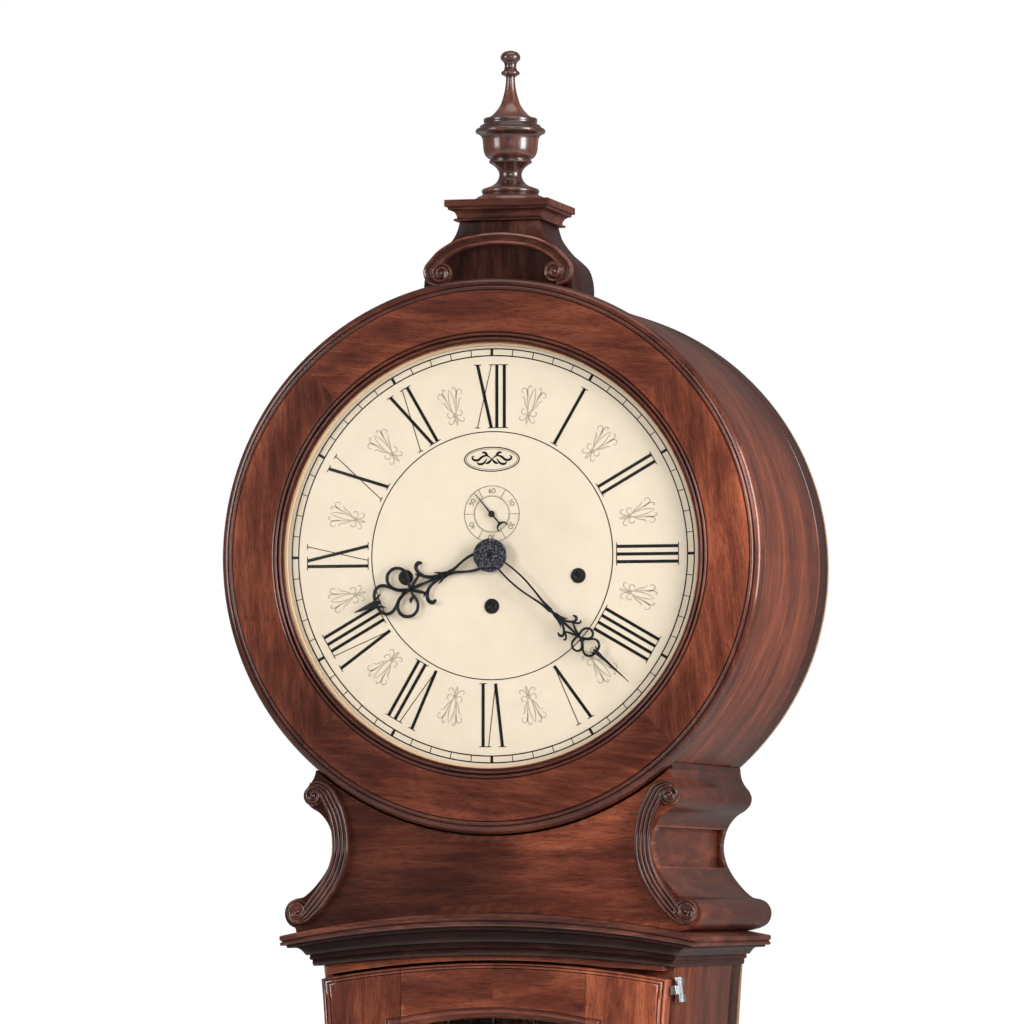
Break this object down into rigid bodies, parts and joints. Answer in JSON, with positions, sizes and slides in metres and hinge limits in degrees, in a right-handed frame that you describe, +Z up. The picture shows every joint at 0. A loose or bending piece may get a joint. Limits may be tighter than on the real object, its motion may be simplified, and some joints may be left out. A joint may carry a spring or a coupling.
{
  "type": "banjo clock",
  "caption": "Floor-standing banjo clock: round wooden head with a hinged domed-glass dial door, scrolled neck, flaring glazed waist, box base, cable weights and a pendulum.",
  "frame": {"origin": "on the floor, under the middle of the clock", "axes": "+Z up, the dial faces -Y, +X to the right of a viewer who faces the dial"},
  "size_m": [0.534, 0.33, 2.13],
  "materials": {
    "cherry": "satin lacquer over red-brown cherry",
    "dark_cherry": "satin lacquer, shaded darker on mouldings and turnings",
    "plain_wood": "bare plywood, matt",
    "dial_cream": "matt antique cream",
    "black_steel": "black enamel, slightly textured",
    "glass": "clear",
    "brass": "lacquered, polished",
    "chrome": "polished",
    "steel": "bright drawn",
    "cast_iron": "dark grey"
  },
  "bodies": {
    "case": {"base_plinth": "dark_cherry", "base_box": "cherry", "base_front_panel": "cherry", "base_moulding": "dark_cherry", "waist_case": "cherry", "back_panel": "plain_wood", "cornice": "dark_cherry", "neck_body": "cherry", "neck_scroll_left": "dark_cherry", "neck_scroll_right": "dark_cherry", "head_drum": "cherry", "head_back_cover": "plain_wood", "pedestal_body": "dark_cherry", "pedestal_scroll": "dark_cherry", "pedestal_plate": "dark_cherry", "finial": "dark_cherry", "dial_plate": "dial_cream", "seat_board": "plain_wood", "front_plate": "brass", "back_plate": "brass", "suspension_post": "brass", "chime_block": "cast_iron", "waist_hinge_upper": "chrome", "waist_hinge_lower": "chrome", "dial_hinge": "brass", "time_cable": "steel", "strike_cable": "steel", "chime_cable": "steel"},
    "dial_door": {"dial_door_ring": "cherry", "dial_glass": "glass", "glass_retainer": "brass", "dial_door_leaf": "brass"},
    "waist_door": {"waist_door_frame": "cherry", "waist_door_glass": "glass", "waist_door_leaf_upper": "chrome", "waist_door_leaf_lower": "chrome"},
    "door_knob": {"waist_door_knob": "brass"},
    "minute_work": {"minute_hand": "black_steel", "centre_wheel": "brass"},
    "hour_work": {"hour_hand": "black_steel", "hour_wheel": "brass"},
    "minute_wheel": {"minute_wheel": "brass"},
    "third_wheel": {"third_wheel": "brass"},
    "seconds_work": {"escape_wheel": "brass", "seconds_hand": "black_steel"},
    "great_wheel": {"time_great_wheel": "brass"},
    "time_drum": {"time_drum": "brass"},
    "strike_drum": {"strike_drum": "brass"},
    "chime_drum": {"chime_drum": "brass"},
    "anchor": {"anchor": "steel"},
    "pendulum": {"pendulum_rod": "brass", "pendulum_bob": "brass"},
    "rating_nut": {"rating_nut": "brass"},
    "time_weight": {"time_weight": "brass"},
    "strike_weight": {"strike_weight": "brass"},
    "chime_weight": {"chime_weight": "brass"},
    "time_pulley": {"time_pulley": "steel"},
    "strike_pulley": {"strike_pulley": "steel"},
    "chime_pulley": {"chime_pulley": "steel"},
    "strike_hammer": {"strike_hammer": "brass"}
  },
  "joints": [
    {"name": "dial_door_swing", "type": "hinge", "parent": "case", "child": "dial_door", "pos_m": [-0.2255, -0.101, 1.713], "axis": [0, 0, -1], "range_deg": [0, 100]},
    {"name": "waist_door_swing", "type": "hinge", "parent": "case", "child": "waist_door", "pos_m": [0.1495, -0.091, 1.363], "axis": [-0.1282, 0, 0.9917], "range_deg": [0, 95]},
    {"name": "door_knob_turn", "type": "hinge", "parent": "waist_door", "child": "door_knob", "pos_m": [-0.14102, -0.105, 1.013], "axis": [0, 1, 0], "range_deg": [0, 90]},
    {"name": "minute_hand_turn", "type": "hinge", "parent": "case", "child": "minute_work", "pos_m": [0, -0.12, 1.713], "axis": [0, 1, 0], "continuous": true},
    {"name": "hour_hand_turn", "type": "hinge", "parent": "case", "child": "hour_work", "pos_m": [0, -0.117, 1.713], "axis": [0, 1, 0], "continuous": true},
    {"name": "minute_wheel_turn", "type": "hinge", "parent": "case", "child": "minute_wheel", "pos_m": [0.018, -0.08, 1.713], "axis": [0, 1, 0], "continuous": true},
    {"name": "third_wheel_turn", "type": "hinge", "parent": "case", "child": "third_wheel", "pos_m": [-0.0189, -0.035, 1.73228], "axis": [0, 1, 0], "continuous": true},
    {"name": "seconds_hand_turn", "type": "hinge", "parent": "case", "child": "seconds_work", "pos_m": [0, -0.049, 1.7466], "axis": [0, 1, 0], "continuous": true},
    {"name": "great_wheel_turn", "type": "hinge", "parent": "case", "child": "great_wheel", "pos_m": [0, -0.022, 1.672], "axis": [0, 1, 0], "continuous": true},
    {"name": "strike_weight_drop", "type": "slide", "parent": "case", "child": "strike_weight", "axis": [0, 0, -1], "range_m": [0, 0.87], "deforming": ["strike_cable"]},
    {"name": "strike_drum_turn", "type": "hinge", "parent": "case", "child": "strike_drum", "pos_m": [-0.0718, -0.041, 1.696], "axis": [0, 1, 0], "continuous": true},
    {"name": "strike_pulley_turn", "type": "hinge", "parent": "strike_weight", "child": "strike_pulley", "pos_m": [-0.0718, -0.041, 1.313], "axis": [0, 1, 0], "continuous": true},
    {"name": "time_weight_drop", "type": "slide", "parent": "case", "child": "time_weight", "axis": [0, 0, -1], "range_m": [0, 0.87], "deforming": ["time_cable"]},
    {"name": "time_drum_turn", "type": "hinge", "parent": "case", "child": "time_drum", "pos_m": [0, -0.041, 1.672], "axis": [0, 1, 0], "continuous": true},
    {"name": "time_pulley_turn", "type": "hinge", "parent": "time_weight", "child": "time_pulley", "pos_m": [0, -0.041, 1.313], "axis": [0, 1, 0], "continuous": true},
    {"name": "chime_weight_drop", "type": "slide", "parent": "case", "child": "chime_weight", "axis": [0, 0, -1], "range_m": [0, 0.87], "deforming": ["chime_cable"]},
    {"name": "chime_drum_turn", "type": "hinge", "parent": "case", "child": "chime_drum", "pos_m": [0.0718, -0.041, 1.696], "axis": [0, 1, 0], "continuous": true},
    {"name": "chime_pulley_turn", "type": "hinge", "parent": "chime_weight", "child": "chime_pulley", "pos_m": [0.0718, -0.041, 1.313], "axis": [0, 1, 0], "continuous": true},
    {"name": "pendulum_swing", "type": "hinge", "parent": "case", "child": "pendulum", "pos_m": [0, 0.005, 1.773], "axis": [0, 1, 0], "range_deg": [-2.5, 2.5]},
    {"name": "anchor_rock", "type": "hinge", "parent": "case", "child": "anchor", "pos_m": [0, -0.048, 1.773], "axis": [0, 1, 0], "range_deg": [-2.5, 2.5]},
    {"name": "rating_nut_turn", "type": "hinge", "parent": "pendulum", "child": "rating_nut", "pos_m": [0, 0.005, 0.711], "axis": [0, 0, 1], "range_deg": [-720, 720]},
    {"name": "strike_hammer_lift", "type": "hinge", "parent": "case", "child": "strike_hammer", "pos_m": [-0.0595, 0.002, 1.641], "axis": [1, 0, 0], "range_deg": [-10, 0], "stiffness_Nm_per_rad": 0.05, "springref_deg": 5.73}
  ],
  "couplings": [
    {"joint": "hour_hand_turn", "follows": "minute_hand_turn", "ratio": 0.083333},
    {"joint": "minute_wheel_turn", "follows": "minute_hand_turn", "ratio": -0.33333},
    {"joint": "third_wheel_turn", "follows": "minute_hand_turn", "ratio": -8},
    {"joint": "seconds_hand_turn", "follows": "minute_hand_turn", "ratio": 60},
    {"joint": "great_wheel_turn", "follows": "minute_hand_turn", "ratio": -0.11111},
    {"joint": "anchor_rock", "follows": "pendulum_swing", "ratio": 1},
    {"joint": "strike_drum_turn", "follows": "strike_weight_drop", "rad_per_m": -117.65},
    {"joint": "strike_pulley_turn", "follows": "strike_weight_drop", "rad_per_m": -58.824},
    {"joint": "time_drum_turn", "follows": "time_weight_drop", "rad_per_m": -117.65},
    {"joint": "time_pulley_turn", "follows": "time_weight_drop", "rad_per_m": -58.824},
    {"joint": "chime_drum_turn", "follows": "chime_weight_drop", "rad_per_m": -117.65},
    {"joint": "chime_pulley_turn", "follows": "chime_weight_drop", "rad_per_m": -58.824}
  ]
}
